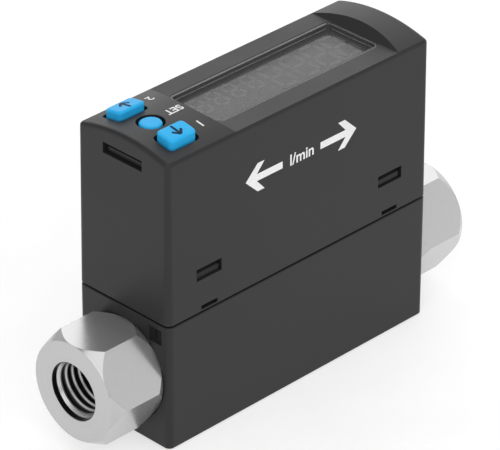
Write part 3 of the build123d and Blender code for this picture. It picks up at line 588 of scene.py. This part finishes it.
for side, port in ((-1, "left"), (1, "right")):
    thread = internal_thread(
        "port_thread_" + port,
        thread_steel,
        port_point,
        side,
        thread_major,
        thread_minor,
        thread_pitch,
        thread_start,
        thread_end,
    )
    points = []
    faces = []
    for column in range(thread_columns):
        angle = 2 * math.pi * column / thread_columns
        points.append(port_point(side, lead_start, lead_wall, angle))
        points.append(port_point(side, thread_start, lead_end, angle))
        points.append(port_point(side, thread_start + lead_land, lead_end, angle))
        points.append(port_point(side, thread_start + lead_fall, thread_major, angle))
        first = 4 * column
        follow = 4 * ((column + 1) % thread_columns)
        for step in range(3):
            faces.append((first + step, first + step + 1, follow + step + 1, follow + step))
    new_piece("port_lead_" + port, points, faces, lead_steel, "sensor")

# Display: the glass of a liquid crystal display on its light guide, in a black clip frame.
# Its unlit segments show as faint lighter figures.
display_glass = moulded(
    "display_glass",
    (0.14, 0.143, 0.14),
    (0.16, 0.163, 0.16),
    (0.16, 0.16, 0.16),
    0.3,
    0.4,
    depth=0.0000002,
    shine=0.05,
)
dress(display_glass, "display", "lcd_panel")
segment_film = ink("segment_film", (0.50, 0.505, 0.50), (0.56, 0.565, 0.56), 0.4)
display_top = 48.2
segment_lift = 0.02


def seven_segments(points, faces, x, bottom, width, height, bar):
    """Add the seven bars of one figure that reads from behind the body; x is its middle, bottom its foot."""
    half = width / 2 - bar / 2
    middle = bottom - height / 2
    low = bottom - bar / 2
    high = bottom - height + bar / 2
    gap = 0.35 * bar
    for start, end in (
        ((-half, low), (half, low)),
        ((-half, middle), (half, middle)),
        ((-half, high), (half, high)),
        ((-half, low), (-half, middle)),
        ((half, low), (half, middle)),
        ((-half, middle), (-half, high)),
        ((half, middle), (half, high)),
    ):
        first = Vector(start)
        last = Vector(end)
        along = (last - first).normalized()
        side = Vector((-along.y, along.x)) * (bar / 2)
        first = first + along * gap
        last = last - along * gap
        outline = (
            first,
            first + along * bar / 2 + side,
            last - along * bar / 2 + side,
            last,
            last - along * bar / 2 - side,
            first + along * bar / 2 - side,
        )
        faces.append(tuple(range(len(points), len(points) + 6)))
        for corner in outline:
            points.append(Vector((x - corner.x, corner.y, display_top + segment_lift)) * millimetre)


figure_foot = 4.85
points = []
faces = []
for places, width, height, bar in (
    ((19.9, 15.3, 10.6, 5.8), 3.9, 7.4, 0.75),
    ((1.4, -2.5, -6.1, -9.7), 2.6, 4.7, 0.55),
):
    for x in places:
        seven_segments(points, faces, x, figure_foot, width, height, bar)
new_piece("display_segments", points, faces, segment_film, "sensor")

# Light guide: a moulded plate of milky plastic behind the display, which spreads its light evenly.
# It lies in the clip frame.
light_guide = moulded(
    "light_guide", (0.70, 0.70, 0.68), (0.78, 0.78, 0.76), (0.8, 0.8, 0.8), 0.4, 0.5, depth=0.000002
)
dress(light_guide, "light_guide", "lcd_backlight")

# Lens: a smoked clear plastic tray let into the deck, moulded, polished and coated against glare.
# Two fine light grey beads run round its wall, at the deck's rim and at its own face, as painted highlight
# lines.
lens_plastic = bpy.data.materials.new("lens_plastic")
lens_plastic.use_nodes = True
lens_shader = lens_plastic.node_tree.nodes["Principled BSDF"]
lens_shader.inputs["Transmission Weight"].default_value = 0.85
lens_shader.inputs["IOR"].default_value = 1.25
lens_skin = add_node(lens_plastic.node_tree, "Group", node_tree=moulded_skin)
lens_skin.inputs["Grain Scale"].default_value = 3000.0
lens_tint = mix_colours(
    lens_plastic.node_tree, lens_skin.outputs["Tone"], (0.38, 0.38, 0.38), (0.40, 0.40, 0.40)
)
lens_gloss = add_node(
    lens_plastic.node_tree, "MapRange", {"Value": lens_skin.outputs["Tone"], "To Min": 0.05, "To Max": 0.06}
)
lens_plastic.node_tree.links.new(lens_tint, lens_shader.inputs["Base Color"])
lens_plastic.node_tree.links.new(lens_gloss.outputs["Result"], lens_shader.inputs["Roughness"])
dress(lens_plastic, "lens", "display_lens")

# Painted highlight: the beads are light grey so that they show as bright lines along the window's edges.
rim_highlight_plastic = moulded(
    "rim_highlight_plastic",
    (0.70, 0.70, 0.70),
    (0.80, 0.80, 0.80),
    (0.80, 0.80, 0.80),
    0.18,
    0.26,
    depth=0.000001,
    shine=0.5,
)
window_centre = 4.05
window_reach = (17.95, 5.7)
window_corner = 0.6
bead_radius = 0.1
bead_sides = 10
corner_steps = 8


def bead(name, height, look):
    """A fine round light bead along the window's inner wall, at one height, that stands as a painted
    highlight line.
    """
    path = []
    for quarter in range(4):
        for step in range(corner_steps + 1):
            angle = math.pi / 2 * (quarter + step / corner_steps)
            outward = Vector((math.cos(angle), math.sin(angle), 0.0))
            across = 1 if quarter in (0, 3) else -1
            along = 1 if quarter in (0, 1) else -1
            corner = Vector(
                (
                    window_centre + across * (window_reach[0] - window_corner),
                    along * (window_reach[1] - window_corner),
                    height,
                )
            )
            path.append((corner + outward * (window_corner - bead_radius), outward))
    points = []
    faces = []
    for index, (middle, outward) in enumerate(path):
        for side_index in range(bead_sides):
            angle = 2 * math.pi * side_index / bead_sides
            offset = outward * math.cos(angle) + Vector((0.0, 0.0, math.sin(angle)))
            points.append((middle + offset * bead_radius) * millimetre)
            this = index * bead_sides + side_index
            side_next = index * bead_sides + (side_index + 1) % bead_sides
            ring_next = bead_sides if index < len(path) - 1 else -index * bead_sides
            faces.append((this, this + ring_next, side_next + ring_next, side_next))
    piece = new_piece(name, points, faces, look, "sensor")
    piece.data.shade_smooth()
    return piece


for name, height in (("rim_highlight_bead_upper", 50.5), ("rim_highlight_bead_lower", 49.69)):
    bead(name, height, rim_highlight_plastic)

# Black plastic parts inside: clip frame, headers, switch bodies, cased chips and the cable socket's shell.
# They are moulded in heat-proof plastic and soldered or clipped in place.
black_plastic = moulded(
    "black_plastic", (0.010, 0.010, 0.011), (0.014, 0.014, 0.015), (0.03, 0.03, 0.03), 0.38, 0.48
)
dress(
    black_plastic,
    "black_plastic",
    "lcd_frame",
    "display_header",
    "sensor_header",
    "up_switch",
    "set_switch",
    "down_switch",
    "microcontroller",
    "voltage_regulator",
    "connector_shell",
)

# Switch plungers: small pins of ivory acetal, one in each switch, that the caps press.
# They are moulded and slide in the switch bodies.
switch_plastic = moulded(
    "switch_plastic", (0.55, 0.53, 0.48), (0.62, 0.60, 0.55), (0.7, 0.68, 0.62), 0.35, 0.45
)
dress(switch_plastic, "switch_plunger", "up_plunger", "set_plunger", "down_plunger")

# Boards: green solder resist over copper tracks on glass fibre, cut to size and screwed or soldered in.
# The flow chip on the smallest one is grey ceramic.
board_resist = moulded(
    "board_resist", (0.010, 0.075, 0.030), (0.016, 0.10, 0.042), (0.30, 0.26, 0.14), 0.28, 0.36, grain=1500.0
)
dress(board_resist, "board", "main_board", "display_board", "sensor_board")
chip_ceramic = moulded("chip_ceramic", (0.30, 0.30, 0.31), (0.36, 0.36, 0.37), (0.4, 0.4, 0.4), 0.3, 0.4)
dress(chip_ceramic, "chip", "sensor_chip")

# Power parts: drawn aluminium capacitor cans and a choke of pressed ferrite, soldered on the main board.
# They smooth the supply.
capacitor_can = metal("capacitor_can", (0.58, 0.58, 0.60), (0.66, 0.66, 0.68), 0.3, 0.38)
dress(capacitor_can, "capacitor", "input_capacitor", "output_capacitor")
ferrite = moulded("ferrite", (0.030, 0.028, 0.026), (0.045, 0.042, 0.040), (0.08, 0.08, 0.08), 0.55, 0.7)
dress(ferrite, "ferrite", "power_choke")

# Screws, clips and screens: plated screws, flat stainless U clips and thin perforated stainless screens.
# The screws hold the frame and the display board; the clips hold the port fittings.
screw_steel = metal("screw_steel", (0.50, 0.50, 0.49), (0.60, 0.60, 0.58), 0.26, 0.36)
dress(screw_steel, "screw_steel", "frame_screws", "display_board_screws")
spring_steel = metal("spring_steel", (0.52, 0.52, 0.52), (0.62, 0.62, 0.61), 0.24, 0.34)
dress(
    spring_steel,
    "spring_steel",
    "retaining_clip_left",
    "retaining_clip_right",
    "inlet_screen",
    "outlet_screen",
)

# Brass: two turned inserts pressed in from below for the mounting screws, and the socket's bent pins.
# Each insert is tapped M3.
brass = metal("brass", (0.66, 0.46, 0.20), (0.76, 0.55, 0.26), 0.24, 0.34)
dress(brass, "brass", "thread_inserts", "connector_pins")

insert_place = 10.0
insert_major = 1.49
insert_minor = 1.25
insert_pitch = 0.5
insert_start = 0.25
insert_end = 4.5


def insert_point(side, depth, radius, angle):
    """A point in an insert's bore, by its depth from the underside, its radius and its angle."""
    x = side * insert_place + radius * math.cos(angle)
    return Vector((x, radius * math.sin(angle), depth)) * millimetre


for side, name in ((-1, "insert_thread_left"), (1, "insert_thread_right")):
    thread = internal_thread(
        name,
        brass,
        insert_point,
        side,
        insert_major,
        insert_minor,
        insert_pitch,
        insert_start,
        insert_end,
    )

# Seals: black nitrile rubber with a dull moulded skin, squeezed between the pieces they seal.
# They are a ring on each fitting, a gasket under the flow channel and a thin ring round the base's tongue.
rubber = moulded("rubber", (0.010, 0.010, 0.010), (0.016, 0.016, 0.016), (0.02, 0.02, 0.02), 0.6, 0.75)
dress(rubber, "seal", "housing_seal", "channel_gasket", "port_seal_left", "port_seal_right")

# Flow parts: pale filled plastic that stands up to the medium, each moulded in one piece.
# The spacers and the straightener are pushed into the bore; the flow channel lies on its gasket above.
flow_plastic = moulded(
    "flow_plastic", (0.50, 0.49, 0.46), (0.58, 0.57, 0.54), (0.62, 0.61, 0.58), 0.4, 0.5
)
dress(flow_plastic, "flow_plastic", "flow_straightener", "inlet_spacer", "outlet_spacer", "sensor_channel")

# Floor: a wide sheet of matt white paper, lit evenly so that it nearly hides its shadows.
# It lies a hair below the base.
floor_size = 3.0
floor_drop = 0.0002
floor_mesh = bpy.data.meshes.new("floor")
floor_mesh.from_pydata(
    [(x * floor_size, y * floor_size, 0.0) for x, y in ((-1, -1), (1, -1), (1, 1), (-1, 1))],
    [],
    [(0, 1, 2, 3)],
)
floor = bpy.data.objects.new("floor", floor_mesh)
bpy.context.scene.collection.objects.link(floor)
floor_paper = moulded(
    "floor_paper", (0.40, 0.40, 0.40), (0.44, 0.44, 0.44), (0.44, 0.44, 0.44), 0.75, 0.85, grain=900.0
)
floor_shader = floor_paper.node_tree.nodes["Principled BSDF"]
floor_shader.inputs["Emission Color"].default_value = (1.0, 1.0, 1.0, 1.0)
floor_shader.inputs["Emission Strength"].default_value = 0.6
floor.location.z = -floor_drop
floor_mesh.materials.append(floor_paper)
